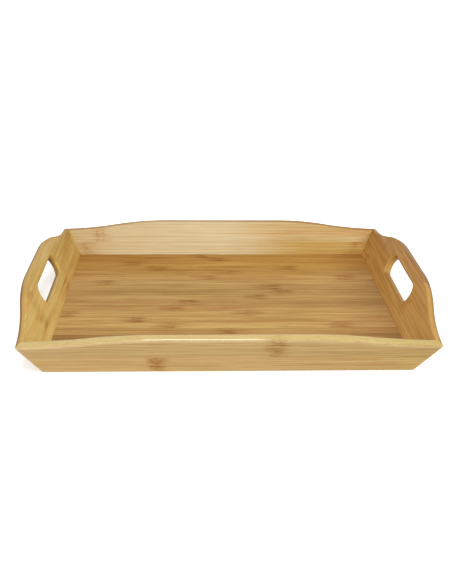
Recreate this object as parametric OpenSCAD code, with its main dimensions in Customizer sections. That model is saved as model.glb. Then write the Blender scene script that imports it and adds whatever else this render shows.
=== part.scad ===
// Butler serving tray in laminated bamboo.
// Four splayed boards with sanded edges are mitred together round a floor of edge-glued staves.
// The floor sits in a groove, a loose spline locks each mitre, and each end board has a hand slot.
// +X runs along the tray, +Z is up, and the origin is the middle of the outline it stands on.

/* [Tray] */
// Length of the outline that the tray stands on
foot_l = 428; // [360:1:500]
// Width of the outline that the tray stands on
foot_w = 320; // [270:1:380]
// Lean of every board, outwards from upright, in degrees
splay = 28; // [20:0.5:34]

/* [Boards] */
// Thickness of the four boards
board_t = 10; // [9:0.1:12]
// Width of the boards at the corners, measured up the slope
corner_w = 49.5; // [46:0.5:56]
// Radius sanded on both arrises of the top edge
edge_r = 3; // [1.5:0.1:4]
// Radius sanded down the four outer corners
corner_r = 3.5; // [2:0.1:5]
// Share of each S-curve that its upper, rounded half takes up
shoulder_share = 0.45; // [0.4:0.01:0.6]
// Distance past the corners at which the S-curves would level out
curve_over = 7; // [0:0.5:12]

/* [Long boards] */
// Rise of the crown above the corners, up the slope
crown_rise = 13; // [10:0.1:16]
// Length of the straight part of the crown
crown_l = 168; // [140:1:220]
// Width of the lower of the two strips that a long board is glued up from
long_strip_w = 29.5; // [24:0.5:36]

/* [End boards] */
// Rise of the handle above the corners, up the slope
handle_rise = 28; // [25:0.1:34]
// Length of the straight part of the handle
handle_l = 86; // [70:1:110]
// Length of the hand slot over its round ends
slot_l = 112; // [95:1:130]
// Height of the hand slot, up the slope
slot_h = 26.6; // [24:0.1:30]
// Wood left above the hand slot
grip_w = 18.4; // [16:0.1:22]
// Radius sanded round both rims of the hand slot
slot_r = 2.2; // [1:0.1:3]
// Width that the topmost of an end board's three strips keeps at the corners
end_cap_w = 4.5; // [4:0.5:8]

/* [Floor] */
// Height of the floor's upper face above the table
floor_z = 13.7; // [12:0.1:18]
// Thickness of the floor
floor_t = 6; // [4:0.1:7]
// Number of staves across the floor
stave_n = 20; // [12:1:22]
// Depth of the groove that holds the floor
groove_d = 5; // [3:0.1:5.5]
// Gap over the floor in its groove
groove_gap = 0.2; // [0.1:0.05:0.4]
// Gap beyond the floor's edges, for the wood to swell into
swell_gap = 0.5; // [0.2:0.05:0.8]

/* [Splines] */
// Thickness of the spline in each mitre
spline_t = 2.5; // [2:0.1:3]
// Width of the spline, half of it in each board
spline_w = 8; // [6:0.1:9]
// Wood left between the floor's groove and the spline
spline_under = 3.5; // [2:0.1:6]
// Wood left between the spline and the top edge
spline_over = 8; // [6:0.1:12]
// Gap round the spline in its slots
spline_gap = 0.05; // [0.02:0.01:0.1]

/* [Hidden] */
// Upper glue line of the end boards, up the slope
end_seam = corner_w - end_cap_w;
SIDES = ["front", "right", "back", "left"];
CORNERS = ["front_right", "back_right", "back_left", "front_left"];

function is_end(side) = side % 2 == 1;
// Glue lines of a board, up the slope
function seams(side) = is_end(side) ? [end_seam / 2, end_seam] : [long_strip_w];
function strip_name(side, n) =
    str(SIDES[side], "_board_", n == 0 ? "lower" : n == len(seams(side)) ? "upper" : "middle", "_strip");
function stave_name(n) = str("floor_stave_", n < 10 ? "0" : "", n);
function spline_name(corner) = str("corner_spline_", CORNERS[corner]);

foot_x = foot_l / 2;
foot_y = foot_w / 2;
// Half lengths of the boards' outer faces at corner height
corner_x = foot_x + corner_w * sin(splay);
corner_y = foot_y + corner_w * sin(splay);

// How far the groove's end wall lies beyond the outline that the tray stands on, and the floor's size in it
groove_out = floor_z * tan(splay) - board_t / cos(splay) + groove_d;
floor_x = foot_x + groove_out - swell_gap;
floor_y = foot_y + groove_out - swell_gap;
stave_w = 2 * floor_y / stave_n;

// Centre of the hand slot, up the slope
slot_v = corner_w + handle_rise - grip_w - slot_h / 2;

// Lean of the corner lines, and the angle between a corner's middle plane and either outer face
mitre_lean = atan(sqrt(2) * tan(splay));
corner_half = 90 - acos(sin(splay) ^ 2) / 2;
// Width of a mitre face, square to the corner line
mitre_w = sqrt(2) * board_t / cos(splay) * cos(mitre_lean);
// Ends of the spline, measured up the corner line
spline_foot = (floor_z + groove_gap + spline_under - (mitre_w - spline_t) / 2 * sin(mitre_lean))
    / cos(mitre_lean);
spline_head = (corner_w * cos(splay) + board_t * sin(splay) - mitre_w * sin(mitre_lean))
    / cos(mitre_lean) - spline_over;

// Cutters and blanks run on this far past the wood, and laps are this deep
past = 40;
lap = 1;
// Small enough not to show: how far an arc stands proud where it crosses a face, in millimetres,
// and how far an S-curve runs on past its ends, in degrees
hair = 0.02;
run_on = 2;

bamboo = [0.82, 0.66, 0.42];
bamboo_pale = [0.87, 0.72, 0.48];
bamboo_deep = [0.74, 0.56, 0.33];
STRIP_TONES = [bamboo, bamboo_pale, bamboo_deep];
STAVE_TONES = [bamboo_deep, bamboo, bamboo_pale, bamboo, bamboo_deep, bamboo_pale, bamboo];

// What the sander takes off an arris, seen end on: the arris is at the origin, the wood lies towards -X,
// and each face leaves the X axis at half_angle. The arc stands a hair proud, so it meets each face at an angle.
module arris_waste(radius, half_angle) {
    inset = radius - hair;
    centre = inset / sin(half_angle);
    difference() {
        translate([-centre * cos(half_angle) ^ 2, -radius - lap])
            square([centre, 2 * (radius + lap)]);
        translate([-centre, 0])
            circle(radius, $fn = 72);
    }
}

// Section of a board's top edge: the edge is at X = 0 with the wood below it, and the outer face is at Y = 0
module edge_section(depth)
    difference() {
        translate([-depth, -board_t])
            square([depth, board_t]);
        rotate(45)
            arris_waste(edge_r, 45);
        translate([0, -board_t])
            rotate(-45)
                arris_waste(edge_r, 45);
    }

// Top edge in two arcs: a rounded shoulder, and a hollow sweep that meets it and falls to the corner's height.
// The shoulder is a hair high and runs on at both ends, so it crosses its neighbours and doesn't just touch them.
module s_curve_edge(flat, end, rise) {
    run = end - flat;
    turn = 2 * atan(rise / run);
    shoulder_r = shoulder_share * run / sin(turn);
    sweep_r = (1 - shoulder_share) * run / sin(turn);
    translate([flat, corner_w + rise - shoulder_r + hair])
        rotate_extrude(start = 90 - turn - run_on, angle = turn + 2 * run_on, $fn = 180)
            translate([shoulder_r, 0])
                edge_section(shoulder_share * rise + edge_r + lap);
    translate([end, corner_w + sweep_r])
        rotate_extrude(start = 270 - turn, angle = turn + run_on, $fn = 180)
            translate([sweep_r, 0])
                mirror([1, 0])
                    edge_section((1 - shoulder_share) * rise + edge_r + lap);
}

// The wood inside the sanded edge: chords under the shoulders, then the slope at the middle of each S-curve
module board_core(flat, end, rise) {
    run = end - flat;
    slope = tan(2 * atan(rise / run));
    middle = [flat + shoulder_share * run, corner_w - edge_r + (1 - shoulder_share) * rise];
    right = [
        [flat, corner_w - edge_r + rise],
        middle,
        [middle.x + (1 - shoulder_share) * rise / slope, corner_w - edge_r],
        [end + past, corner_w - edge_r],
        [end + past, -board_t]];
    translate([0, 0, -board_t])
        linear_extrude(board_t)
            polygon(concat(right, [for (i = [len(right) - 1 : -1 : 0]) [-right[i].x, right[i].y]]));
}

// A board lying in its own plane: X along it, Y up the slope, and the outer face at Z = 0
module board_blank(flat, corner, rise) {
    end = corner + curve_over;
    board_core(flat, end, rise);
    translate([-flat, corner_w + rise, 0])
        rotate([90, 0, 90])
            linear_extrude(2 * flat)
                edge_section(edge_r + lap);
    for (way = [0, 1])
        mirror([way, 0, 0])
            s_curve_edge(flat, end, rise);
}

// Section of the hand slot's cutter, from its middle to one side, with both rims sanded
module slot_section() {
    translate([0, -board_t - lap])
        square([slot_h / 2, board_t + 2 * lap]);
    translate([slot_h / 2, 0])
        rotate(135)
            arris_waste(slot_r, 45);
    translate([slot_h / 2, -board_t])
        rotate(-135)
            arris_waste(slot_r, 45);
}

module hand_slot() {
    straight = slot_l - slot_h;
    for (way = [0, 180])
        rotate([0, 0, way]) {
            translate([-straight / 2, 0, 0])
                rotate([90, 0, 90])
                    linear_extrude(straight)
                        slot_section();
            translate([straight / 2, 0, 0])
                rotate_extrude(start = -90, angle = 180, $fn = 96)
                    slot_section();
        }
}

module blank(side)
    if (is_end(side))
        difference() {
            board_blank(handle_l / 2, corner_y, handle_rise);
            translate([0, slot_v, 0])
                hand_slot();
        }
    else
        board_blank(crown_l / 2, corner_x, crown_rise);

// The part of a board's plane that one strip takes up, between its glue lines
module strip_slab(side, n) {
    from = n == 0 ? -past : seams(side)[n - 1];
    to = n == len(seams(side)) ? from + 3 * past : seams(side)[n];
    long = 2 * (corner_x + curve_over + past);
    translate([-long / 2, from, -board_t - lap])
        cube([long, to - from, board_t + 2 * lap]);
}

// Everything between the two mitre planes of a side, from the table up, seen with that side at -Y
module mitred_space(half_l, half_w)
    linear_extrude(3 * past)
        polygon([
            [-half_l - past, -half_w - past],
            [half_l + past, -half_w - past],
            [half_l - past, -half_w + past],
            [-half_l + past, -half_w + past]]);

// Groove for the floor, ploughed along a whole board: the floor lies on its lower face
module floor_groove(half_l, half_w)
    translate([-half_l - past, -half_w - groove_out, floor_z - floor_t])
        cube([2 * (half_l + past), past, floor_t + groove_gap]);

// Places its children on a corner line: Z up the line, and X outwards, square to it
module on_corner_line(corner) {
    x = corner == 0 || corner == 1 ? foot_x : -foot_x;
    y = corner == 1 || corner == 2 ? foot_y : -foot_y;
    translate([x, y, 0])
        rotate([0, mitre_lean, atan2(sign(y), sign(x))])
            children();
}

module spline_plate(gap)
    translate([-(mitre_w + spline_t) / 2 - gap, -spline_w / 2 - gap, spline_foot - gap])
        cube([spline_t + 2 * gap, spline_w + 2 * gap, spline_head - spline_foot + 2 * gap]);

module corner_waste()
    translate([0, 0, -past])
        linear_extrude(4 * past)
            arris_waste(corner_r, corner_half);

// One glued-up strip of a board
module board_strip(side, n)
    color(STRIP_TONES[n])
        difference() {
            half_l = is_end(side) ? foot_y : foot_x;
            half_w = is_end(side) ? foot_x : foot_y;
            rotate([0, 0, 90 * side])
                difference() {
                    intersection() {
                        mitred_space(half_l, half_w);
                        translate([0, -half_w, 0])
                            rotate([90 + splay, 0, 0])
                                intersection() {
                                    blank(side);
                                    strip_slab(side, n);
                                }
                    }
                    floor_groove(half_l, half_w);
                }
            for (corner = [side, (side + 3) % 4])
                on_corner_line(corner) {
                    spline_plate(spline_gap);
                    corner_waste();
                }
        }

// One stave of the floor, counted from the front
module floor_stave(n)
    color(STAVE_TONES[n % len(STAVE_TONES)])
        translate([-floor_x, -floor_y + (n - 1) * stave_w, floor_z - floor_t])
            cube([2 * floor_x, stave_w, floor_t]);

module corner_spline(corner)
    color(bamboo_deep)
        on_corner_line(corner)
            spline_plate(0);

for (side = [0 : 3], n = [0 : len(seams(side))])
    board_strip(side, n);
for (n = [1 : stave_n])
    floor_stave(n);
for (corner = [0 : 3])
    corner_spline(corner);
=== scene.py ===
import math

import bmesh
import bpy
from mathutils import Matrix, Vector


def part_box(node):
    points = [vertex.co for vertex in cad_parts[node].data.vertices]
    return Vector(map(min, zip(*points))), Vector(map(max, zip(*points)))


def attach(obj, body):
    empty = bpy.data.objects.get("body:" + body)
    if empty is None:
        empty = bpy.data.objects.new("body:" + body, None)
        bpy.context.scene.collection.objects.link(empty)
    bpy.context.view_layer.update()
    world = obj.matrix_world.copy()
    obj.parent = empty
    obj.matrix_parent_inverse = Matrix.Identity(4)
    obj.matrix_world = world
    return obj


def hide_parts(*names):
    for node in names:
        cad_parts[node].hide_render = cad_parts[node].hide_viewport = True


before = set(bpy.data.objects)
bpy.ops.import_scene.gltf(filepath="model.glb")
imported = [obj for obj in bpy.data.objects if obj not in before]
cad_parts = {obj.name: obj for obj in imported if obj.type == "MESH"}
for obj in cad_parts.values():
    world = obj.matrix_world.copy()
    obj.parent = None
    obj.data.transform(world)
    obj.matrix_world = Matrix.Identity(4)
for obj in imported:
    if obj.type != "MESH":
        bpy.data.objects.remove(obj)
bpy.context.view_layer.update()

# ---------------------------------------------------------------- sizes, in millimetres as cut

MM = 0.001
# The boards: half of their outline on the table, their splay, thickness and width at the corners
FOOT_X, FOOT_Y = 214.0, 160.0
SPLAY = math.radians(28)
SIN, COS = math.sin(SPLAY), math.cos(SPLAY)
BOARD_T = 10.0
CORNER_W = 49.5
# How far the rim's arrises, the outer corners and the foot's arrises are rounded
EDGE_R = 3.0
CORNER_R = 3.5
FOOT_R = 0.8
# The rim falls in two arcs: the upper one's share of the fall, and how far the curve runs on past the corner
SHOULDER_SHARE = 0.45
CURVE_OVER = 7.0
# Glue lines, up the slope from the foot
LONG_SEAM = 29.5
END_SEAMS = (22.5, 45.0)
# The hand slot: half its straight stretch, its ends' radius, how far up the slope it is, its arrises' radius
SLOT_FLAT = 42.7
SLOT_RADIUS = 13.3
SLOT_V = 45.8
SLOT_R = 2.2
# The floor's groove: how far out it reaches past the outline on the table, and how high its two sides lie
GROOVE_OUT = 0.958
GROOVE_Z = (7.7, 13.9)

# Columns of faces from a mitre to the middle stretch, and closer ones by their distance from the mitre
OUTER_COLUMNS = 26
CLOSE_COLUMNS = (0, 0.35, 0.8, 1.35, 2.0, 2.6, 3.3, 5.0)
# Columns over half of the middle stretch, which is a little longer on the rim than at the slot below it
SLOT_COLUMNS, CROWN_COLUMNS = 28, 40
RIM_OVER_SLOT = 1.1
# Rows of faces up a flat side, as shares of it, and round an arris of the rim or the slot, and of the foot
FACE_ROWS = (0.025, 0.2, 0.4, 0.6, 0.8, 0.975)
ARRIS_ROWS = 6
FOOT_ROWS = 5


# ---------------------------------------------------------------- boards

class Board:
    """One side of the tray in its own plane: u along it, v up the slope, w inwards from its outer face."""

    def __init__(self, side, half_l, half_w, flat, rise, slotted):
        self.side = side
        self.half_l = half_l
        self.half_w = half_w
        self.flat = flat
        self.rise = rise
        self.slotted = slotted
        corner = half_l + CORNER_W * SIN
        self.curve_end = corner + CURVE_OVER
        run = self.curve_end - flat
        self.turn = 2 * math.atan(rise / run)
        self.shoulder_r = SHOULDER_SHARE * run / math.sin(self.turn)
        self.sweep_r = (1 - SHOULDER_SHARE) * run / math.sin(self.turn)
        # Half of the middle stretch, where the columns of faces keep to the slot or the straight crown
        self.middle_u = SLOT_FLAT + SLOT_RADIUS if slotted else flat
        self.middle_s = RIM_OVER_SLOT * self.middle_u if slotted else flat
        self.stations = self.make_stations()

    def mitre_u(self, v, w):
        return self.half_l + v * SIN - w * COS

    def rim(self, s, depth):
        """The point s along the top edge from its middle, this deep below the edge."""
        way = -1 if s < 0 else 1
        s = abs(s)
        top = CORNER_W + self.rise
        angle = (s - self.flat) / self.shoulder_r
        if angle <= 0:
            u, v = s, top - depth
        elif angle <= self.turn:
            radius = self.shoulder_r - depth
            u = self.flat + radius * math.sin(angle)
            v = top - self.shoulder_r + radius * math.cos(angle)
        else:
            angle = self.turn - (s - self.flat - self.shoulder_r * self.turn) / self.sweep_r
            radius = self.sweep_r + depth
            u = self.curve_end - radius * math.sin(angle)
            v = CORNER_W + self.sweep_r - radius * math.cos(angle)
        return way * u, v

    def rim_end(self, w, depth):
        """How far along the top edge the mitre cuts the line that lies at w and this deep."""
        low = self.flat
        high = self.flat + (self.shoulder_r + self.sweep_r) * self.turn
        halvings = 40
        for _ in range(halvings):
            middle = (low + high) / 2
            u, v = self.rim(middle, depth)
            if u < self.mitre_u(v, w):
                low = middle
            else:
                high = middle
        return low

    def make_stations(self):
        """The columns of faces, from left to right, each as (way, share, x, turn).

        way is 0 in the middle stretch and otherwise the end that the column lies towards. share is how far
        in from the mitre it lies, x how far across the middle stretch, and turn how far round the slot.
        """
        close = [distance / (self.half_l - self.middle_u) for distance in CLOSE_COLUMNS]
        outer = close + [i / OUTER_COLUMNS for i in range(2, OUTER_COLUMNS + 1)]
        steps = SLOT_COLUMNS if self.slotted else CROWN_COLUMNS
        middle = []
        for i in range(1, 2 * steps):
            turn = i / steps - 1
            x = turn
            if self.slotted:
                u, _ = slot_outline(turn, 0, 1)
                x = u / slot_outline(1, 0, 1)[0]
            middle.append((0, 1, x, turn))
        left = [(-1, f, -1, -1) for f in outer]
        right = [(1, f, 1, 1) for f in reversed(outer)]
        return left + middle + right


def slot_outline(turn, flare, way):
    """A point of the slot's flared outline: turn runs from -1 to 1 over its upper or, by way, lower half."""
    radius = SLOT_RADIUS + flare
    start = math.asin(way * (END_SEAMS[1] - SLOT_V) / radius)
    share = abs(turn)
    flat_share = 0.5
    if share < flat_share:
        u, v = SLOT_FLAT * share / flat_share, radius
    else:
        angle = math.pi / 2 - (share - flat_share) / (1 - flat_share) * (math.pi / 2 - start)
        u, v = SLOT_FLAT + radius * math.cos(angle), radius * math.sin(angle)
    return math.copysign(u, turn), SLOT_V + way * v


def straight(board, v, w, inner_u=None):
    """A line along the whole board at v and w, from mitre to mitre."""
    inner = inner_u or board.middle_u
    end = board.mitre_u(v, w)

    def at(station):
        way, share, x, _ = station
        if way == 0:
            return x * inner, v, w
        return way * (end - (end - inner) * share), v, w
    return at


def rim_line(board, w, depth):
    """A line along the rim, this deep below the top edge."""
    end = board.rim_end(w, depth)

    def at(station):
        way, share, x, _ = station
        s = x * board.middle_s if way == 0 else way * (end - (end - board.middle_s) * share)
        u, v = board.rim(s, depth)
        return u, v, w
    return at


def slot_line(board, w, flare, way):
    """A line round one half of the hand slot, and straight on along the upper glue line to the mitres."""
    beyond = straight(board, END_SEAMS[1], w, slot_outline(1, flare, way)[0])

    def at(station):
        if station[0] != 0:
            return beyond(station)
        u, v = slot_outline(station[3], flare, way)
        return u, v, w
    return at


def between(line_a, line_b, shares):
    """Lines that lie between two others, by their shares of the way."""
    def lerp(share):
        def at(station):
            a, b = line_a(station), line_b(station)
            return tuple(p + (q - p) * share for p, q in zip(a, b))
        return at
    return [lerp(share) for share in shares]


def quarter(radius):
    """(along the face, away from the edge) of a sanded arris, from one face to the next."""
    for i in range(ARRIS_ROWS + 1):
        angle = math.pi / 2 * i / ARRIS_ROWS
        yield radius * (1 - math.cos(angle)), radius * (1 - math.sin(angle))


def both_arrises(radius):
    """(w, depth) right round an edge with both arrises sanded, from the outer face to the inner."""
    outer = list(quarter(radius))
    inner = [(BOARD_T - w, depth) for w, depth in reversed(outer)]
    return outer + [(BOARD_T / 2, 0)] + inner


def eased_foot(corner, before, after):
    """The small arc on an arris of the foot, in the plane of h, outwards from the foot's outline, and z."""
    to_before = (Vector(before) - Vector(corner)).normalized()
    to_after = (Vector(after) - Vector(corner)).normalized()
    half = to_before.angle(to_after) / 2
    centre = Vector(corner) + (to_before + to_after).normalized() * FOOT_R / math.sin(half)
    start = Vector(corner) + to_before * FOOT_R / math.tan(half) - centre
    end = Vector(corner) + to_after * FOOT_R / math.tan(half) - centre
    sweep = math.atan2(start.x * end.y - start.y * end.x, start.dot(end))
    for i in range(FOOT_ROWS + 1):
        h, z = centre + Matrix.Rotation(sweep * i / FOOT_ROWS, 2) @ start
        yield h * SIN + z * COS, z * SIN - h * COS


# What a line of a loop lies on, as (handled, routed, glued): a sanded edge, a hand slot's wall, a glue line
FACE, EDGE, SEAM = (0, 0, 0), (1, 0, 0), (0, 0, 1)


def glued(board, v):
    """The side of a strip along a glue line, from the outer face to the inner."""
    return [(straight(board, v, BOARD_T * share), SEAM) for share in (0, 1 / 3, 2 / 3, 1)]


def slot_head(board, way):
    """A strip's side along half of the hand slot: the fourth mark says that a glue line goes on from it."""
    return [(slot_line(board, w, flare, way), (flare / SLOT_R, 1 - flare / SLOT_R, 0, True))
            for w, flare in both_arrises(SLOT_R)]


def upper_loop(board):
    """The lines round an upper strip, which holds the rim and, on an end board, the slot's upper half."""
    seam = END_SEAMS[1] if board.slotted else LONG_SEAM
    edge = [(rim_line(board, w, depth), EDGE) for w, depth in both_arrises(EDGE_R)]
    if board.slotted:
        foot = slot_head(board, 1)[::-1]
    else:
        foot = glued(board, seam)[::-1]
    up = [(line, FACE) for line in between(foot[-1][0], edge[0][0], FACE_ROWS)]
    down = [(line, FACE) for line in between(edge[-1][0], foot[0][0], FACE_ROWS)]
    return up + edge + down + foot


def middle_loop(board):
    """The lines round an end board's middle strip, which holds the slot's lower half."""
    head = slot_head(board, -1)
    foot = glued(board, END_SEAMS[0])[::-1]
    up = [(line, FACE) for line in between(foot[-1][0], head[0][0], FACE_ROWS)]
    down = [(line, FACE) for line in between(head[-1][0], foot[0][0], FACE_ROWS)]
    return up + head + down + foot


def lower_loop(board):
    """The lines round a lower strip, which stands on the table and holds the floor's groove."""
    seam = END_SEAMS[0] if board.slotted else LONG_SEAM
    face_in = -BOARD_T / COS
    lean = SIN / COS

    def level(h, z):
        return straight(board, h * SIN + z * COS, z * SIN - h * COS), FACE
    head = glued(board, seam)
    low, high = GROOVE_Z
    groove = [level(face_in + high * lean, high), level(GROOVE_OUT, high),
              level(GROOVE_OUT, low), level(face_in + low * lean, low)]
    inner = [(straight(board, v, w), FACE) for v, w in eased_foot((face_in, 0), (face_in + lean, 1), (0, 0))]
    outer = [(straight(board, v, w), FACE) for v, w in eased_foot((0, 0), (face_in, 0), (lean, 1))]
    up = [(line, FACE) for line in between(outer[-1][0], head[0][0], FACE_ROWS)]
    down = [(line, FACE) for line in between(head[-1][0], groove[0][0], FACE_ROWS)]
    return inner + outer + up + head + down + groove


def round_corner(board, point):
    """Brings a point that lies outside the rounded outer corners back on to their arc."""
    hair = 1e-6
    for way in (-1, 1):
        line = Vector((way * SIN, 1, 0)).normalized()
        inwards = Vector((-way * COS, 0, 1))
        inwards = (inwards - inwards.dot(line) * line).normalized()
        along = Vector((-way, 0, 0))
        along = (along - along.dot(line) * line).normalized()
        half = along.angle(inwards)
        across = (along - along.dot(inwards) * inwards).normalized()
        offset = point - Vector((way * board.half_l, 0, 0))
        deep = offset.dot(inwards) - CORNER_R / math.sin(half)
        off = offset.dot(across)
        reach = math.hypot(deep, off)
        in_arc = math.atan2(off, -deep) <= math.pi / 2 - half + hair
        if deep < 0 and reach > CORNER_R and in_arc:
            pull = CORNER_R / reach - 1
            return point + (inwards * deep + across * off) * pull
    return point


def in_tray(board, point):
    """From a board's own plane to the tray."""
    u, v, w = point
    there = Vector((u, -(board.half_w + v * SIN - w * COS), v * COS + w * SIN))
    return Matrix.Rotation(board.side * math.pi / 2, 3, "Z") @ there * MM


def board_strip(name, board, loop, material):
    """Lofts one glued-up strip from mitre to mitre round its loop of lines."""
    places = [[round_corner(board, Vector(line(station))) for line, _ in loop]
              for station in board.stations]
    n = len(loop)
    flat = [place for ring in places for place in ring]
    faces = [(i * n + j, i * n + (j + 1) % n, (i + 1) * n + (j + 1) % n, (i + 1) * n + j)
             for i in range(len(places) - 1) for j in range(n)]
    faces += [tuple(range(n)), tuple(range(len(flat) - n, len(flat)))]
    mesh = bpy.data.meshes.new(name)
    mesh.from_pydata([in_tray(board, place) for place in flat], [], faces)
    put_vector(mesh, "board_place", [place * MM for place in flat])
    marks = [SEAM if len(mark) > 3 and station[1] != 1 else mark
             for station in board.stations for _, mark in loop]
    for column, label in enumerate(("handled", "routed", "glued")):
        put_float(mesh, label, [mark[column] for mark in marks])
    return finished(name, mesh, material)


def put_vector(mesh, name, values):
    """Gives each point of a mesh its vector."""
    attribute = mesh.attributes.new(name, "FLOAT_VECTOR", "POINT")
    attribute.data.foreach_set("vector", [x for value in values for x in value])


def put_float(mesh, name, values):
    """Gives each point of a mesh its number."""
    attribute = mesh.attributes.new(name, "FLOAT", "POINT")
    attribute.data.foreach_set("value", values)


def finished(name, mesh, material, sharp=33):
    """Puts a mesh in the scene with its material: faces outwards, edges sharp from this many degrees on."""
    work = bmesh.new()
    work.from_mesh(mesh)
    bmesh.ops.recalc_face_normals(work, faces=work.faces)
    work.to_mesh(mesh)
    work.free()
    mesh.shade_smooth()
    mesh.set_sharp_from_angle(angle=math.radians(sharp))
    mesh.materials.clear()
    mesh.materials.append(material)
    piece = bpy.data.objects.new(name, mesh)
    bpy.context.scene.collection.objects.link(piece)
    return piece


# ---------------------------------------------------------------- node tree helpers

def srgb(red, green, blue):
    """A colour as a painter's chart gives it, 0 to 255, for a linear socket."""
    def linear(c):
        c /= 255
        return c / 12.92 if c <= 0.04045 else ((c + 0.055) / 1.055) ** 2.4
    return linear(red), linear(green), linear(blue), 1.0


class Tree:
    """Adds nodes to a tree: any input may be a socket or a plain value."""

    def __init__(self, tree):
        self.tree = tree

    def node(self, kind, inputs=None, **settings):
        """A new node with these inputs and settings."""
        node = self.tree.nodes.new(kind)
        for key, value in settings.items():
            setattr(node, key, value)
        self.feed(node, inputs or {})
        return node

    def feed(self, node, inputs):
        """Joins sockets to a node's inputs, and sets the inputs that have plain values."""
        for key, value in inputs.items():
            if isinstance(value, bpy.types.NodeSocket):
                self.tree.links.new(value, node.inputs[key])
            else:
                node.inputs[key].default_value = value

    def group(self, group, inputs):
        """Places a node group with these inputs, and gives its outputs."""
        return self.node("ShaderNodeGroup", inputs, node_tree=group).outputs

    def attribute(self, name, output="Fac"):
        return self.node("ShaderNodeAttribute", attribute_name=name).outputs[output]

    def math(self, operation, *values, clamp=False):
        inputs = dict(enumerate(values))
        return self.node("ShaderNodeMath", inputs, operation=operation, use_clamp=clamp).outputs[0]

    def times(self, first, *others):
        for other in others:
            first = self.math("MULTIPLY", first, other)
        return first

    def plus(self, a, b):
        return self.math("ADD", a, b)

    def minus(self, a, b):
        return self.math("SUBTRACT", a, b)

    def vector(self, operation, *values):
        return self.node("ShaderNodeVectorMath", dict(enumerate(values)), operation=operation).outputs[0]

    def combine(self, x=0.0, y=0.0, z=0.0):
        return self.node("ShaderNodeCombineXYZ", {0: x, 1: y, 2: z}).outputs[0]

    def separate(self, vector):
        return self.node("ShaderNodeSeparateXYZ", {0: vector}).outputs

    def ramp(self, value, low, high, to_low=0.0, to_high=1.0):
        """A smooth step from one value at low to another at high, and level beyond them."""
        return self.node("ShaderNodeMapRange", {0: value, 1: low, 2: high, 3: to_low, 4: to_high},
                         interpolation_type="SMOOTHSTEP").outputs[0]

    def noise(self, place, scale, seed, detail=2.0, roughness=0.5):
        """Noise stretched by its own scale each way, in cycles a metre, shifted by the seed."""
        moved = self.vector("MULTIPLY_ADD", place, scale, seed)
        return self.node("ShaderNodeTexNoise", {"Vector": moved, "Scale": 1.0, "Detail": detail,
                                                "Roughness": roughness}).outputs[0]

    def mix(self, share, a, b, blend="MIX"):
        inputs = {0: share, 6: a, 7: b}
        return self.node("ShaderNodeMix", inputs, data_type="RGBA", blend_type=blend).outputs[2]


def new_group(name, inputs, outputs):
    """A shader node group: inputs are (name, kind, default) and outputs (name, kind)."""
    group = bpy.data.node_groups.new(name, "ShaderNodeTree")
    for label, kind, default in inputs:
        socket = group.interface.new_socket(label, in_out="INPUT", socket_type="NodeSocket" + kind)
        socket.default_value = default
    for label, kind in outputs:
        group.interface.new_socket(label, in_out="OUTPUT", socket_type="NodeSocket" + kind)
    tree = Tree(group)
    return group, tree, tree.node("NodeGroupInput").outputs, tree.node("NodeGroupOutput")


def new_material(name):
    material = bpy.data.materials.new(name)
    material.use_nodes = True
    material.node_tree.nodes.clear()
    tree = Tree(material.node_tree)
    shader = tree.node("ShaderNodeBsdfPrincipled")
    tree.node("ShaderNodeOutputMaterial", {0: shader.outputs[0]})
    return material, tree, shader


# ---------------------------------------------------------------- bamboo

# How far one step of the seed shifts the noise each way, so that no two strips are alike
SEED_STEPS = (7.31, 3.77, 5.19)
PINSTRIPES_PER_METRE = 210.0


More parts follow.
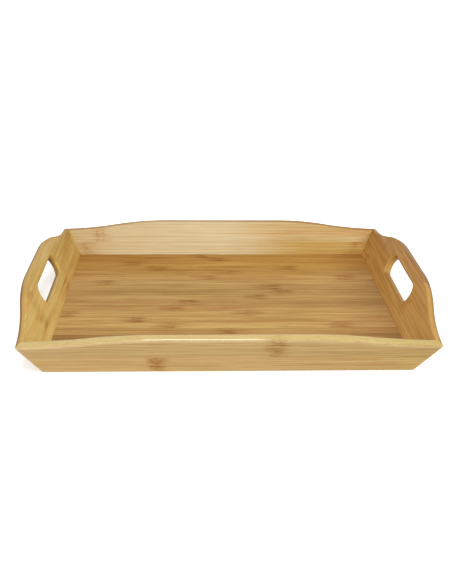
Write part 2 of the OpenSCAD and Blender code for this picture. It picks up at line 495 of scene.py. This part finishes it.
def make_bamboo_group():
    """Laminated bamboo: fine fibres, soft streaks, and a node every so often along the cane."""
    group, tree, given, result = new_group("laminated_bamboo", [
        ("Place", "Vector", (0, 0, 0)), ("Seed", "Float", 0.0),
        ("Pale Wood", "Color", srgb(214, 180, 122)), ("Deep Wood", "Color", srgb(178, 136, 80)),
        ("Streaks", "Float", 1.0), ("Bands", "Float", 0.15), ("Pinstripes", "Float", 0.0),
        ("Mottle", "Float", 0.4), ("Rosy", "Float", 0.3),
        ("Untinted Place", "Float", 0.0), ("Untinted Reach", "Float", 1.0), ("Tint And Shade Reach", "Float", 2.0),
        ("Node Wood", "Color", srgb(154, 100, 30)), ("Node Place", "Float", 0.0),
        ("Node Spacing", "Float", 0.6), ("Node Reach", "Float", 0.016), ("Node Line", "Float", 1.0),
        ("Node Split", "Float", 0.0), ("Node Stain", "Float", 0.5), ("Node Dashes", "Float", 1.0),
    ], [("Wood", "Color"), ("Tint And Shade", "Float"), ("Roughness", "Float"), ("Relief", "Float")])
    place = given["Place"]
    seed = tree.combine(*(tree.times(given["Seed"], step) for step in SEED_STEPS))
    along, across, _ = tree.separate(place)

    # How far this point is from the nearest node, with the node's line wandering a little over the strip
    wander = tree.minus(tree.noise(place, (40, 150, 60), seed), 0.5)
    off = tree.math("MULTIPLY_ADD", wander, 0.012, tree.minus(along, given["Node Place"]))
    half_gap = tree.times(given["Node Spacing"], 0.5)
    off = tree.math("WRAP", off, half_gap, tree.times(half_gap, -1.0))
    near = tree.math("ABSOLUTE", off)
    reach = given["Node Reach"]
    halo = tree.ramp(near, 0.0, reach, 1.0, 0.0)

    # Fibres bend round a node
    bend = tree.times(halo, tree.minus(tree.noise(place, (60, 140, 90), seed), 0.5))
    bent = tree.vector("ADD", place, tree.combine(y=tree.times(bend, 0.004)))

    fine = tree.noise(bent, (20, 1000, 1000), seed, 2.0, 0.6)
    strand = tree.noise(bent, (9, 480, 480), seed, 2.0, 0.6)
    band = tree.noise(bent, (4.5, 110, 80), seed)
    cloud = tree.noise(place, (12, 30, 30), seed, 3.0, 0.55)

    # How deep the tone is: fibres, which stand out more in the tinted, partly painted-shade part, bands,
    # pinstripes and broad clouds
    fibres = tree.times(tree.ramp(strand, 0.32, 0.68), 0.6)
    fibres = tree.plus(fibres, tree.times(tree.ramp(fine, 0.32, 0.68), 0.3))
    # Where a board's tint falls, away from its untinted place: on some boards the tint is painted shade
    from_untinted = tree.math("ABSOLUTE", tree.minus(along, given["Untinted Place"]))
    tint_and_shade = tree.ramp(from_untinted, given["Untinted Reach"], given["Tint And Shade Reach"])
    streaks = tree.math("MULTIPLY_ADD", tint_and_shade, given["Streaks"], given["Streaks"])
    tone = tree.math("MULTIPLY_ADD", tree.minus(fibres, 0.45), streaks, 0.5)
    tone = tree.math("MULTIPLY_ADD", tree.minus(tree.ramp(band, 0.3, 0.7), 0.5), given["Bands"], tone)
    stripe = tree.math("MULTIPLY_ADD", across, PINSTRIPES_PER_METRE, tree.times(band, 1.5))
    stripe = tree.math("ABSOLUTE", tree.minus(tree.math("FRACT", stripe), 0.5))
    faded = tree.ramp(tree.noise(bent, (9, 380, 80), seed, 1.0), 0.35, 0.65, 0.3, 1.0)
    stripe = tree.times(tree.ramp(stripe, 0.0, 0.28, 1.0, 0.0), faded)
    tone = tree.math("MULTIPLY_ADD", stripe, given["Pinstripes"], tone)
    tone = tree.math("MULTIPLY_ADD", tree.minus(cloud, 0.5), given["Mottle"], tone, clamp=True)
    wood = tree.mix(tone, given["Pale Wood"], given["Deep Wood"])

    # Some fibres are rosier than the rest
    rosy = tree.ramp(tree.noise(bent, (1.6, 70, 70), seed, 1.0), 0.5, 0.7)
    wood = tree.mix(tree.times(rosy, given["Rosy"]), wood, srgb(255, 222, 200), "MULTIPLY")

    # A node's line is broken, and where it curls it splits in two
    curl = tree.ramp(tree.noise(place, (30, 210, 90), seed, 1.0), 0.4, 0.56, 0.15, 1.0)
    from_line = tree.math("ABSOLUTE", tree.minus(near, tree.times(curl, given["Node Split"])))
    line = tree.ramp(from_line, 0.0004, 0.0022, 1.0, 0.0)
    broken = tree.ramp(tree.noise(place, (60, 150, 140), seed), 0.36, 0.6)
    mark = tree.times(line, broken, tree.times(given["Node Line"], 0.5))

    # Short dashes trail off from it, mostly one way
    flecks = tree.ramp(tree.noise(bent, (34, 480, 420), seed, 3.0, 0.6), 0.44, 0.66)
    one_way = tree.ramp(off, -0.004, 0.001, 0.5, 1.0)
    trail = tree.times(one_way, tree.ramp(near, tree.times(reach, 0.3), reach, 1.0, 0.0))
    mark = tree.plus(mark, tree.times(trail, flecks, tree.times(given["Node Dashes"], 0.4)))

    # A warm stain round it tapers along the fibres
    blot = tree.noise(place, (24, 110, 90), seed, 3.0, 0.6)
    stain = tree.ramp(tree.math("MULTIPLY_ADD", halo, 0.35, blot), 0.56, 0.86)
    streaky = tree.ramp(tree.noise(bent, (26, 420, 300), seed, 2.0, 0.6), 0.36, 0.64, 0.3, 1.0)
    mark = tree.math("MULTIPLY_ADD", tree.times(stain, streaky), given["Node Stain"], mark)
    mark = tree.math("MINIMUM", mark, 1.0)
    wood = tree.mix(mark, wood, given["Node Wood"])

    # Fine dark pores, cut through lengthways
    pores = tree.ramp(tree.noise(bent, (22, 1700, 1700), seed, 1.0), 0.6, 0.74, 0.0, 0.26)
    relief = tree.minus(tree.times(fine, 0.6), tree.times(mark, 0.1))
    tree.feed(result, {
        "Wood": tree.mix(pores, wood, given["Node Wood"]),
        "Tint And Shade": tint_and_shade,
        "Roughness": tree.plus(tree.times(fine, 0.07), tree.times(cloud, 0.06)),
        "Relief": tree.minus(relief, tree.times(pores, 0.8)),
    })
    return group


def make_edge_group():
    """A board's edges: painted light and shade on the rim and foot, painted shade on the outer arris, and a
    hand slot scorched and painted with shade, with a painted highlight at one end.
    """
    group, tree, given, result = new_group("cut_edges", [
        ("Wood", "Color", (0.5, 0.5, 0.5, 1)), ("Place", "Vector", (0, 0, 0)),
        ("Handled", "Float", 0.0), ("Routed", "Float", 0.0), ("Glued", "Float", 0.0),
        ("Rim Shading Wood", "Color", srgb(226, 200, 136)), ("Rim Shading", "Float", 0.5), ("Rim Shading From", "Float", -1.0),
        ("Rim Shading To", "Float", -0.99), ("Rim Shading Outside", "Float", 1.0), ("Painted Light At Foot", "Float", 0.0),
        ("Arris Shade Wood", "Color", srgb(120, 72, 30)), ("Arris Shade", "Float", 0.0),
        ("Arris Shade From", "Float", -0.01), ("Arris Shade To", "Float", 0.0032), ("Arris Shade Fade", "Float", 0.0026),
        ("Arris Shade Where Rim Shaded", "Float", 1.0),
        ("Burnt And Shaded Wood", "Color", srgb(120, 72, 30)), ("Burn And Shade", "Float", 0.5), ("Burn And Shade From", "Float", 0.6),
        ("Burn And Shade Depth", "Float", 0.02), ("Slot Highlight Wood", "Color", srgb(206, 166, 96)),
        ("Slot Highlight From", "Float", 1.0), ("Slot Highlight To", "Float", 1.1), ("Polish", "Float", 0.3),
    ], [("Wood", "Color"), ("Coat", "Float"), ("Roughness", "Float")])
    place, handled, routed = given["Place"], given["Handled"], given["Routed"]
    along, up, inwards = tree.separate(place)
    wood = given["Wood"]

    # The foot is painted paler, as painted light near the floor, and glue lines are dark and fine
    foot = tree.times(tree.ramp(up, 0.0, 0.014, 1.0, 0.0), given["Painted Light At Foot"])
    wood = tree.mix(foot, wood, srgb(236, 208, 150))
    wood = tree.mix(tree.ramp(given["Glued"], 0.35, 1.0, 0.0, 0.3), wood, srgb(128, 84, 40))

    # Painted light and shade along the rim, paler or darker, less so on its outer side, from one distance
    # from the middle to another
    there = tree.ramp(tree.math("ABSOLUTE", along), given["Rim Shading From"], given["Rim Shading To"])
    patchy = tree.ramp(tree.noise(place, (60, 300, 300), (0, 0, 0), 3.0, 0.6), 0.3, 0.7, 0.55, 1.0)
    rim_shading = tree.times(handled, patchy, given["Rim Shading"])
    rim_shading = tree.times(rim_shading, tree.ramp(inwards, 0.0, 0.004, given["Rim Shading Outside"], 1.0))
    wood = tree.mix(tree.times(rim_shading, there), wood, given["Rim Shading Wood"])
    speck = tree.ramp(tree.noise(place, (420, 700, 700), (3, 1, 2), 1.0), 0.5, 0.72, 0.0, 0.3)
    wood = tree.mix(tree.times(speck, handled), wood, srgb(178, 138, 66))

    # Painted shade on the arris, browner between two depths from the outer face, and less deep where the
    # rim's painted light and shade lies
    reach = tree.times(given["Arris Shade To"], tree.ramp(there, 0.0, 1.0, 1.0, given["Arris Shade Where Rim Shaded"]))
    arris_shade = tree.times(handled, tree.ramp(inwards, tree.minus(reach, given["Arris Shade Fade"]), reach, 1.0, 0.0))
    arris_shade_full = tree.plus(given["Arris Shade From"], 0.0015)
    arris_shade = tree.times(arris_shade, tree.ramp(inwards, given["Arris Shade From"], arris_shade_full))
    wood = tree.mix(tree.times(arris_shade, given["Arris Shade"]), wood, given["Arris Shade Wood"])

    # The slot's wall is scorched by the cutter and painted with shade, as deep as a given depth from the
    # outer face
    burn_and_shade = tree.times(tree.ramp(routed, given["Burn And Shade From"], 1.0), given["Burn And Shade"])
    burn_and_shade_from = tree.minus(given["Burn And Shade Depth"], 0.0026)
    burn_and_shade = tree.times(burn_and_shade, tree.ramp(inwards, burn_and_shade_from, given["Burn And Shade Depth"], 1.0, 0.0))
    wood = tree.mix(burn_and_shade, wood, given["Burnt And Shaded Wood"])

    # A painted highlight: its arrises are painted paler towards one end
    highlight_band = tree.times(tree.ramp(routed, 0.0, 0.25), tree.ramp(routed, 0.4, 0.9, 1.0, 0.0))
    slot_highlight = tree.math("MULTIPLY_ADD", highlight_band, 0.5, tree.ramp(routed, 0.0, 0.3, 0.0, 0.4))
    slot_highlight = tree.times(slot_highlight, tree.ramp(along, given["Slot Highlight From"], given["Slot Highlight To"]))
    polished = tree.times(handled, given["Polish"])
    coat = tree.math("MULTIPLY_ADD", polished, 0.88, 0.12)
    tree.feed(result, {
        "Wood": tree.mix(slot_highlight, wood, given["Slot Highlight Wood"]),
        "Coat": tree.times(coat, tree.ramp(routed, 0.0, 0.5, 1.0, 0.0)),
        "Roughness": tree.math("MULTIPLY_ADD", polished, -0.175, 0.33),
    })
    return group


BAMBOO = make_bamboo_group()
EDGES = make_edge_group()


def lacquered(tree, shader, wood, roughness, relief, coat=0.1):
    """Wood that has drunk its oil and hardly shines itself, under a thin coat of lacquer."""
    bump = tree.node("ShaderNodeBump", {"Strength": 0.35, "Distance": 0.00012, "Height": relief})
    tree.feed(shader, {"Base Color": wood, "Roughness": roughness, "IOR": 1.5, "Specular IOR Level": 0.02,
                       "Coat Weight": coat, "Coat Roughness": 0.07, "Normal": bump.outputs[0]})


def board_bamboo(name, look, seed, node_at, tinted, tone):
    """One strip of a board: its fibres run along the board and turn over its edges."""
    material, tree, shader = new_material(name)
    place = tree.attribute("board_place", "Vector")
    grain = tree.group(BAMBOO, {"Place": place, "Seed": seed, "Node Place": node_at * MM, **look["grain"]})
    edges = tree.group(EDGES, {
        "Wood": grain["Wood"], "Place": place, "Handled": tree.attribute("handled"),
        "Routed": tree.attribute("routed"), "Glued": tree.attribute("glued"), **look["edges"]})
    # The tint multiplies in where it falls: painted shade over the front board's right half and towards the
    # back board's right corner, elsewhere the boards' own tone
    wood = tree.mix(tree.times(grain["Tint And Shade"], tinted), edges["Wood"], look["tint_and_shade"], "MULTIPLY")
    # How light the strip is: the front's lower strip is painted lighter and its upper strip darker, as
    # painted light and shade
    wood = tree.mix(1.0, wood, (tone, tone, tone, 1.0), "MULTIPLY")
    roughness = tree.plus(edges["Roughness"], grain["Roughness"])
    lacquered(tree, shader, wood, roughness, grain["Relief"], edges["Coat"])
    return material


# ---------------------------------------------------------------- floor

STAVES = 20
stave_low, stave_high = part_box("floor_stave_01")
STAVE_SIZE = stave_high - stave_low
STAVE_EASE = 0.00015
# How near a stave's side its dark joint begins, and how near it is darkest
JOINT_FROM, JOINT_FULL = 0.0005, 0.0001
# Faces round each eased edge of a stave, and rings along it
EASE_STEPS = 2
STAVE_RINGS = 16
# Where each stave has its node, from the front, in millimetres along the tray
STAVE_NODES = (-30, 60, -150, 110, -1, -73, -117, 25, -70, -47,
               38, 72, 63, -164, -28, 7, -94, -135, -9, -34)
# The staves that have a second node on the tray are the ones from canes with short joints
STAVE_SPACING = {6: 216, 8: 227, 15: 198, 17: 184}
PLAIN_SPACING = 380
# How light each stave's cane is, from the front
STAVE_TONES = (0.95, 1.05, 0.95, 0.75, 0.95, 1.13, 1.06, 1.1, 1.03, 0.93,
               0.98, 0.93, 1.0, 1.06, 1.15, 0.97, 0.98, 1.0, 1.0, 0.96)


def make_stave_tree():
    """Staves swept from an eased section and laid side by side, each marked with its place and number."""
    tree = Tree(bpy.data.node_groups.new("floor_staves", "GeometryNodeTree"))
    face = tree.tree.interface
    face.new_socket("Geometry", in_out="OUTPUT", socket_type="NodeSocketGeometry")
    for label, kind in (("Staves", "Int"), ("Stave Length", "Float"), ("Stave Width", "Float"),
                        ("Stave Thickness", "Float"), ("Eased Edge", "Float"), ("First Stave", "Vector"),
                        ("Wood", "Material")):
        face.new_socket(label, in_out="INPUT", socket_type="NodeSocket" + kind)
    given = tree.node("NodeGroupInput").outputs
    result = tree.node("NodeGroupOutput")

    # One stave, swept along the tray from end to end
    section = tree.node("GeometryNodeCurvePrimitiveQuadrilateral",
                        {"Width": given["Stave Width"], "Height": given["Stave Thickness"]}).outputs[0]
    section = tree.node("GeometryNodeFilletCurve", {"Curve": section, "Radius": given["Eased Edge"]})
    section.mode = "POLY"
    tree.feed(section, {"Count": EASE_STEPS})
    half = tree.times(given["Stave Length"], 0.5)
    path = tree.node("GeometryNodeCurvePrimitiveLine",
                     {"Start": tree.combine(tree.times(half, -1.0)), "End": tree.combine(half)}).outputs[0]
    path = tree.node("GeometryNodeResampleCurve", {"Curve": path, "Count": STAVE_RINGS}).outputs[0]
    stave = tree.node("GeometryNodeCurveToMesh", {"Curve": path, "Profile Curve": section.outputs[0],
                                                  "Fill Caps": True}).outputs[0]
    position = tree.node("GeometryNodeInputPosition").outputs[0]
    stave = tree.node("GeometryNodeStoreNamedAttribute",
                      {"Geometry": stave, "Name": "stave_place", "Value": position},
                      data_type="FLOAT_VECTOR", domain="POINT").outputs[0]

    # The row of them, from the front
    step = tree.combine(y=given["Stave Width"])
    row = tree.node("GeometryNodeMeshLine", {
        "Count": given["Staves"], "Start Location": given["First Stave"], "Offset": step}).outputs[0]
    laid = tree.node("GeometryNodeInstanceOnPoints", {"Points": row, "Instance": stave}).outputs[0]
    number = tree.node("GeometryNodeInputIndex").outputs[0]
    laid = tree.node("GeometryNodeStoreNamedAttribute",
                     {"Geometry": laid, "Name": "stave_number", "Value": number},
                     data_type="FLOAT", domain="INSTANCE").outputs[0]
    solid = tree.node("GeometryNodeRealizeInstances", {"Geometry": laid}).outputs[0]
    solid = tree.node("GeometryNodeSetMaterial", {"Geometry": solid, "Material": given["Wood"]}).outputs[0]
    tree.feed(result, {"Geometry": solid})
    return tree.tree


def floor_bamboo():
    """The floor's staves: each has its own tone and its own node, with a fine dark joint between them."""
    material, tree, shader = new_material("floor_bamboo")
    place = tree.attribute("stave_place", "Vector")
    number = tree.attribute("stave_number")
    tone = tree.attribute("stave_tone")
    along, across, _ = tree.separate(place)
    # The floor's fibres are broader than the boards'
    broad = tree.vector("MULTIPLY", place, (1.0, 0.62, 1.0))
    grain = tree.group(BAMBOO, {
        "Place": broad, "Seed": tree.times(number, 1.37),
        "Pale Wood": srgb(204, 166, 101), "Deep Wood": srgb(156, 113, 55),
        "Streaks": 0.76, "Bands": 0.15, "Rosy": 0.2,
        "Node Wood": srgb(136, 84, 32), "Node Place": tree.attribute("stave_node"),
        "Node Spacing": tree.attribute("stave_spacing"), "Node Reach": 0.03, "Node Split": 0.006,
        "Node Line": 0.3, "Node Dashes": 1.2, "Node Stain": 0.44})

    # A darker cane is a redder one, and the rear staves are redder than the rest
    green = tree.times(tree.math("POWER", tone, 1.25), tree.ramp(number, 13.5, 16.0, 1.0, 0.92))
    blue = tree.times(tree.math("POWER", tone, 1.5), tree.ramp(number, 13.5, 16.0, 1.0, 0.73))
    wood = tree.vector("MULTIPLY", grain["Wood"], tree.combine(tone, green, blue))

    # Painted shade: the staves are a little duller towards their right ends, by the right board, and the
    # last two browner towards the left, in the back left corner
    wood = tree.mix(tree.ramp(along, 0.12, 0.2), wood, srgb(246, 240, 242), "MULTIPLY")
    rear_left_shade = tree.times(tree.ramp(number, 17.2, 18.2), tree.ramp(along, -0.16, 0.06, 1.0, 0.0))
    wood = tree.mix(rear_left_shade, wood, srgb(238, 229, 216), "MULTIPLY")

    half = STAVE_SIZE.y / 2
    joint = tree.ramp(tree.math("ABSOLUTE", across), half - JOINT_FROM, half - JOINT_FULL, 0.0, 0.5)
    wood = tree.mix(joint, wood, srgb(96, 58, 30))
    lacquered(tree, shader, wood, tree.plus(0.36, grain["Roughness"]), grain["Relief"])
    return material


def tray_floor():
    """Runs the stave tree and keeps its result as one plain mesh."""
    tree = make_stave_tree()
    host = bpy.data.objects.new("stave_host", bpy.data.meshes.new("stave_host"))
    bpy.context.scene.collection.objects.link(host)
    modifier = host.modifiers.new("floor_staves", "NODES")
    modifier.node_group = tree
    wood = floor_bamboo()
    inputs = {"Staves": STAVES, "Stave Length": STAVE_SIZE.x, "Stave Width": STAVE_SIZE.y,
              "Stave Thickness": STAVE_SIZE.z, "Eased Edge": STAVE_EASE,
              "First Stave": (stave_low + stave_high) / 2, "Wood": wood}
    for item in tree.interface.items_tree:
        if item.in_out == "INPUT":
            modifier[item.identifier] = inputs[item.name]
    bpy.context.view_layer.update()
    evaluated = host.evaluated_get(bpy.context.evaluated_depsgraph_get())
    mesh = bpy.data.meshes.new_from_object(evaluated)
    bpy.data.objects.remove(host)
    numbers = [0.0] * len(mesh.vertices)
    mesh.attributes["stave_number"].data.foreach_get("value", numbers)
    numbers = [round(number) for number in numbers]
    put_float(mesh, "stave_tone", [STAVE_TONES[n] for n in numbers])
    put_float(mesh, "stave_node", [STAVE_NODES[n] * MM for n in numbers])
    put_float(mesh, "stave_spacing", [STAVE_SPACING.get(n + 1, PLAIN_SPACING) * MM for n in numbers])
    mesh.name = "tray_floor"
    return finished("tray_floor", mesh, wood, sharp=12)


# ---------------------------------------------------------------- the tray

SIDES = ("front", "right", "back", "left")
# The long boards have a low crown and the end boards a handle: flat is half of the straight stretch of rim
# there, and rise how far that stands over the corners
CROWN = dict(half_l=FOOT_X, half_w=FOOT_Y, flat=84.0, rise=13.0, slotted=False)
HANDLE = dict(half_l=FOOT_Y, half_w=FOOT_X, flat=43.0, rise=28.0, slotted=True)
# The boards come from different canes, and each carries its own painted light and shade.
# Lengths are in metres here, as the materials take them.
BOARD_LOOK = {
    "front": {
        "tint_and_shade": srgb(241, 239, 219),
        "grain": {
            "Pale Wood": srgb(208, 179, 122), "Deep Wood": srgb(181, 145, 91),
            "Streaks": 1.0, "Bands": 0.08, "Rosy": 0.15,
            "Untinted Place": -0.2, "Untinted Reach": 0.2, "Tint And Shade Reach": 0.5,
            "Node Reach": 0.02, "Node Split": 0.0048, "Node Line": 0.75, "Node Dashes": 1.1,
            "Node Stain": 0.7},
        "edges": {
            "Rim Shading Wood": srgb(197, 176, 112), "Rim Shading": 0.9, "Rim Shading From": -0.15, "Rim Shading To": 0.1,
            "Rim Shading Outside": 0.3, "Painted Light At Foot": 0.4, "Polish": 1.0}},
    "right": {
        "tint_and_shade": srgb(239, 230, 214),
        "grain": {
            "Pale Wood": srgb(218, 171, 102), "Deep Wood": srgb(186, 137, 73),
            "Streaks": 0.9, "Bands": 0.05, "Mottle": 1.2, "Rosy": 0.1,
            "Untinted Place": -0.25, "Untinted Reach": 0.08, "Tint And Shade Reach": 0.42,
            "Node Line": 0.0, "Node Dashes": 0.3, "Node Stain": 0.35},
        "edges": {
            "Rim Shading Wood": srgb(184, 143, 72), "Rim Shading": 0.9, "Rim Shading From": 0.058, "Rim Shading To": 0.09,
            "Arris Shade Wood": srgb(132, 87, 43), "Arris Shade": 0.9, "Arris Shade To": 0.0128, "Arris Shade Fade": 0.007,
            "Arris Shade Where Rim Shaded": 0.56, "Burnt And Shaded Wood": srgb(178, 134, 70), "Burn And Shade": 0.9, "Burn And Shade From": 0.0,
            "Slot Highlight Wood": srgb(222, 184, 116), "Slot Highlight From": 0.044, "Slot Highlight To": 0.049, "Polish": 0.12}},
    "back": {
        "tint_and_shade": srgb(233, 212, 160),
        "grain": {
            "Pale Wood": srgb(224, 214, 176), "Deep Wood": srgb(198, 164, 112),
            "Streaks": 0.38, "Bands": 0.1, "Pinstripes": 0.3, "Rosy": 0.35,
            "Untinted Place": 0.07, "Untinted Reach": 0.08, "Tint And Shade Reach": 0.2,
            "Node Wood": srgb(176, 118, 62), "Node Spacing": 0.4, "Node Reach": 0.024,
            "Node Split": 0.005, "Node Line": 0.7, "Node Dashes": 0.8, "Node Stain": 0.2},
        "edges": {
            "Rim Shading": 0.1, "Arris Shade": 0.5, "Arris Shade From": 0.0055, "Arris Shade To": 0.0122, "Polish": 0.0}},
    "left": {
        "tint_and_shade": srgb(239, 230, 214),
        "grain": {
            "Pale Wood": srgb(224, 197, 124), "Deep Wood": srgb(188, 149, 78),
            "Streaks": 0.5, "Mottle": 1.2, "Rosy": 0.5,
            "Untinted Place": 0.2, "Untinted Reach": 0.14, "Tint And Shade Reach": 0.36,
            "Node Reach": 0.022, "Node Line": 0.0, "Node Dashes": 0.9, "Node Stain": 0.4},
        "edges": {
            "Rim Shading Wood": srgb(188, 150, 86), "Rim Shading": 0.75, "Arris Shade": 0.75, "Arris Shade To": 0.0055,
            "Burn And Shade": 0.68, "Burn And Shade Depth": 0.0069, "Polish": 0.0}},
}
# Each strip's seed, where its node is along the board in millimetres, how much of the board's tint and
# painted shade it takes, and how light it is, which on the front strips is painted light and shade
STRIP_WOOD = {
    "front_board_lower_strip": (1.3, -83.5, 1.0, 1.03),
    "front_board_upper_strip": (2.1, 51, 1.0, 0.95),
    "right_board_lower_strip": (3.7, 130, 1.0, 1.05),
    "right_board_middle_strip": (4.9, -60, 1.0, 0.98),
    "right_board_upper_strip": (5.3, 95, 1.0, 0.98),
    "back_board_lower_strip": (6.1, 198.5, 1.0, 0.98),
    "back_board_upper_strip": (18.9, 180, 0.6, 0.99),
    "left_board_lower_strip": (8.3, -40, 1.0, 1.02),
    "left_board_middle_strip": (9.7, 95, 1.0, 1.0),
    "left_board_upper_strip": (10.1, 86, 1.0, 1.0),
}


def spline_bamboo():
    """The splines in the mitres, of the boards' own bamboo with no lacquer on it."""
    material, tree, shader = new_material("spline_bamboo")
    place = tree.node("ShaderNodeTexCoord").outputs["Object"]
    along_mitre = (0, SPLAY, math.pi / 4)
    turned = tree.node("ShaderNodeMapping", {"Vector": place, "Rotation": along_mitre}).outputs[0]
    grain = tree.group(BAMBOO, {"Place": turned, "Seed": 12.7, "Node Line": 0.0, "Node Stain": 0.0,
                                "Node Dashes": 0.0})
    tree.feed(shader, {"Base Color": grain["Wood"], "Roughness": tree.plus(0.6, grain["Roughness"])})
    return material


for side, side_name in enumerate(SIDES):
    board = Board(side, **(HANDLE if side % 2 else CROWN))
    loops = {"lower": lower_loop(board), "upper": upper_loop(board)}
    if board.slotted:
        loops["middle"] = middle_loop(board)
    for level, loop in loops.items():
        node_name = f"{side_name}_board_{level}_strip"
        wood_name = f"{side_name}_board_{level}_bamboo"
        wood = board_bamboo(wood_name, BOARD_LOOK[side_name], *STRIP_WOOD[node_name])
        strip = board_strip(f"{node_name}_finished", board, loop, wood)
        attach(strip, "root")
        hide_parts(node_name)

floor_piece = tray_floor()
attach(floor_piece, "root")
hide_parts(*(f"floor_stave_{n:02d}" for n in range(1, STAVES + 1)))

spline_wood = spline_bamboo()
for node_name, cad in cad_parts.items():
    if node_name.startswith("corner_spline"):
        cad.data.materials.clear()
        cad.data.materials.append(spline_wood)

# ---------------------------------------------------------------- floor, light and camera

# The tray's shadow shows up to the first distance from its middle, and past the second the floor is white
SHADOW_REACH = (0.24, 0.38)
# How much the floor glows where the shadow shows, and how bright the world is for the tray itself
SHADOW_GLOW = 0.48
WORLD_LIGHT = 0.4


def seen(tree):
    """1 for the rays that show the background itself: straight, in a mirror or through glass."""
    rays = tree.node("ShaderNodeLightPath").outputs
    shown = tree.math("MAXIMUM", rays["Is Camera Ray"], rays["Is Glossy Ray"])
    return tree.math("MAXIMUM", shown, rays["Is Transmission Ray"])


def studio_floor():
    """A pale floor that keeps the tray's shadow and shows white where no shadow falls."""
    half = 8.0
    mesh = bpy.data.meshes.new("studio_floor")
    corners = [(-half, -half, 0), (half, -half, 0), (half, half, 0), (-half, half, 0)]
    mesh.from_pydata(corners, [], [(0, 1, 2, 3)])
    material, tree, shader = new_material("pale_floor")
    place = tree.node("ShaderNodeTexCoord").outputs["Object"]
    away = tree.node("ShaderNodeVectorMath", {0: place}, operation="LENGTH").outputs["Value"]
    glow = tree.ramp(away, *SHADOW_REACH, SHADOW_GLOW, 1.0)
    tree.feed(shader, {"Base Color": (0.9, 0.9, 0.9, 1), "Roughness": 0.9, "Specular IOR Level": 0.1,
                       "Emission Color": (1, 1, 1, 1), "Emission Strength": tree.times(seen(tree), glow)})
    mesh.materials.append(material)
    piece = bpy.data.objects.new("studio_floor", mesh)
    bpy.context.scene.collection.objects.link(piece)


def softbox(name, place, target, width, depth, watts):
    """A lamp of this width and depth that faces its target."""
    lamp = bpy.data.lights.new(name, "AREA")
    lamp.shape = "RECTANGLE"
    lamp.size = width
    lamp.size_y = depth
    lamp.energy = watts
    holder = bpy.data.objects.new(name, lamp)
    holder.location = place
    aim = Vector(target) - Vector(place)
    holder.rotation_euler = aim.to_track_quat("-Z", "Y").to_euler()
    bpy.context.scene.collection.objects.link(holder)


def studio_light():
    """A small softbox close over the front rim, two larger ones for the whole tray, and an even world."""
    front_rim = (-0.02, -0.18, 0.06)
    middle = (0, 0, 0.03)
    softbox("boom_softbox", (-0.055, -0.75, 1.12), front_rim, width=0.37, depth=0.5, watts=9.4)
    softbox("key_softbox", (1.3, -0.5, 1.2), middle, width=1.0, depth=0.8, watts=10.6)
    softbox("front_softbox", (-0.5, -1.9, 0.45), middle, width=1.6, depth=0.7, watts=6.4)
    world = bpy.data.worlds.new("studio")
    bpy.context.scene.world = world
    world.use_nodes = True
    world.node_tree.nodes.clear()
    tree = Tree(world.node_tree)
    strength = tree.math("MULTIPLY_ADD", seen(tree), 1.0 - WORLD_LIGHT, WORLD_LIGHT)
    sky = tree.node("ShaderNodeBackground", {"Color": (1, 1, 1, 1), "Strength": strength})
    tree.node("ShaderNodeOutputWorld", {0: sky.outputs[0]})


def studio_camera():
    """The camera, by its place in the tray's frame and its turn, tilt and roll."""
    place = Vector((-39.05, -952.56, 472.68)) * MM
    turn, tilt, roll = (math.radians(a) for a in (2.404, 25.151, 0.889))
    forward = Vector((math.sin(turn) * math.cos(tilt), math.cos(turn) * math.cos(tilt), -math.sin(tilt)))
    level = Vector((math.cos(turn), -math.sin(turn), 0))
    upright = level.cross(forward)
    right = level * math.cos(roll) + upright * math.sin(roll)
    up = upright * math.cos(roll) - level * math.sin(roll)
    camera = bpy.data.objects.new("camera", bpy.data.cameras.new("camera"))
    camera.data.lens = 49.408
    camera.data.sensor_width = 36.0
    camera.data.clip_start = 0.01
    camera.matrix_world = Matrix.Translation(place) @ Matrix((right, up, -forward)).transposed().to_4x4()
    bpy.context.scene.collection.objects.link(camera)
    bpy.context.scene.camera = camera


studio_floor()
studio_light()
studio_camera()
bpy.context.scene.view_settings.view_transform = "Standard"
